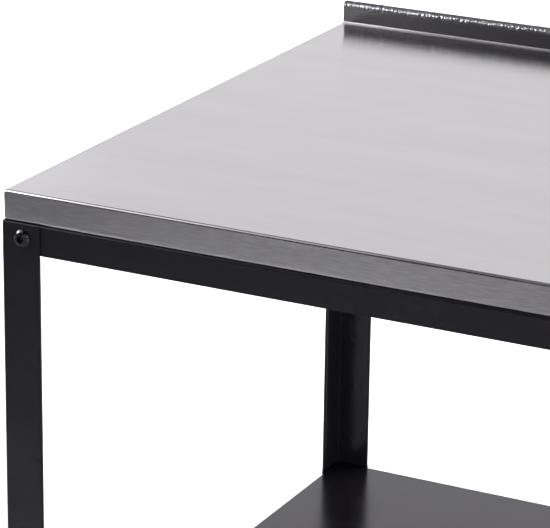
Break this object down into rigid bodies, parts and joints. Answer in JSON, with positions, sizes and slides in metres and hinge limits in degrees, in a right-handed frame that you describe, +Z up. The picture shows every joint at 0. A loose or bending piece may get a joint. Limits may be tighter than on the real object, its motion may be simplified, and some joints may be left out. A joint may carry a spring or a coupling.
{
  "type": "outdoor kitchen island",
  "caption": "Free-standing outdoor kitchen island: brushed stainless worktop with a low rear upstand on a black bolted angle-steel frame with an open shelf and levelling feet.",
  "frame": {"origin": "on the floor under the middle of the frame", "axes": "+Z up; the front of the island, opposite the upstand, faces -Y; +X to the right seen from the front"},
  "size_m": [0.8668, 0.6168, 0.91],
  "materials": {
    "worktop_stainless": "brushed along the length",
    "black_frame": "satin black powder coat",
    "black_shelf": "smooth satin black powder coat",
    "galvanised_sheet": "galvanised",
    "bright_fastener": "bright plated",
    "foot_plastic": "moulded black polyamide"
  },
  "bodies": {
    "frame": {"worktop": "worktop_stainless", "worktop_stiffener_left": "galvanised_sheet", "worktop_stiffener_right": "galvanised_sheet", "front_rail": "black_frame", "rear_rail": "black_frame", "left_rail": "black_frame", "right_rail": "black_frame", "shelf": "black_shelf", "shelf_stiffener": "black_frame", "frame_bolts": "bright_fastener", "frame_nuts": "bright_fastener", "shelf_bolts": "bright_fastener", "shelf_nuts": "bright_fastener", "worktop_screws": "bright_fastener", "worktop_clinch_nuts": "bright_fastener", "foot_weld_nuts": "black_frame", "leg_front_left": "black_frame", "foot_plate_front_left": "black_frame", "leg_front_right": "black_frame", "foot_plate_front_right": "black_frame", "leg_rear_right": "black_frame", "foot_plate_rear_right": "black_frame", "leg_rear_left": "black_frame", "foot_plate_rear_left": "black_frame"},
    "pad_front_left": {"foot_pad_front_left": "foot_plastic"},
    "stud_front_left": {"foot_stud_front_left": "bright_fastener"},
    "pad_front_right": {"foot_pad_front_right": "foot_plastic"},
    "stud_front_right": {"foot_stud_front_right": "bright_fastener"},
    "pad_rear_right": {"foot_pad_rear_right": "foot_plastic"},
    "stud_rear_right": {"foot_stud_rear_right": "bright_fastener"},
    "pad_rear_left": {"foot_pad_rear_left": "foot_plastic"},
    "stud_rear_left": {"foot_stud_rear_left": "bright_fastener"}
  },
  "joints": [
    {"name": "foot_slide_front_left", "type": "slide", "parent": "frame", "child": "pad_front_left", "axis": [0, 0, -1], "range_m": [0, 0.012]},
    {"name": "stud_turn_front_left", "type": "hinge", "parent": "pad_front_left", "child": "stud_front_left", "pos_m": [-0.41575, -0.29075, 0.0107], "axis": [0, 0, -1], "range_deg": [0, 3456]},
    {"name": "foot_slide_front_right", "type": "slide", "parent": "frame", "child": "pad_front_right", "axis": [0, 0, -1], "range_m": [0, 0.012]},
    {"name": "stud_turn_front_right", "type": "hinge", "parent": "pad_front_right", "child": "stud_front_right", "pos_m": [0.41575, -0.29075, 0.0107], "axis": [0, 0, -1], "range_deg": [0, 3456]},
    {"name": "foot_slide_rear_right", "type": "slide", "parent": "frame", "child": "pad_rear_right", "axis": [0, 0, -1], "range_m": [0, 0.012]},
    {"name": "stud_turn_rear_right", "type": "hinge", "parent": "pad_rear_right", "child": "stud_rear_right", "pos_m": [0.41575, 0.29075, 0.0107], "axis": [0, 0, -1], "range_deg": [0, 3456]},
    {"name": "foot_slide_rear_left", "type": "slide", "parent": "frame", "child": "pad_rear_left", "axis": [0, 0, -1], "range_m": [0, 0.012]},
    {"name": "stud_turn_rear_left", "type": "hinge", "parent": "pad_rear_left", "child": "stud_rear_left", "pos_m": [-0.41575, 0.29075, 0.0107], "axis": [0, 0, -1], "range_deg": [0, 3456]}
  ],
  "couplings": [
    {"joint": "foot_slide_front_left", "follows": "stud_turn_front_left", "m_per_rad": 0.00019894},
    {"joint": "foot_slide_front_right", "follows": "stud_turn_front_right", "m_per_rad": 0.00019894},
    {"joint": "foot_slide_rear_right", "follows": "stud_turn_rear_right", "m_per_rad": 0.00019894},
    {"joint": "foot_slide_rear_left", "follows": "stud_turn_rear_left", "m_per_rad": 0.00019894}
  ]
}
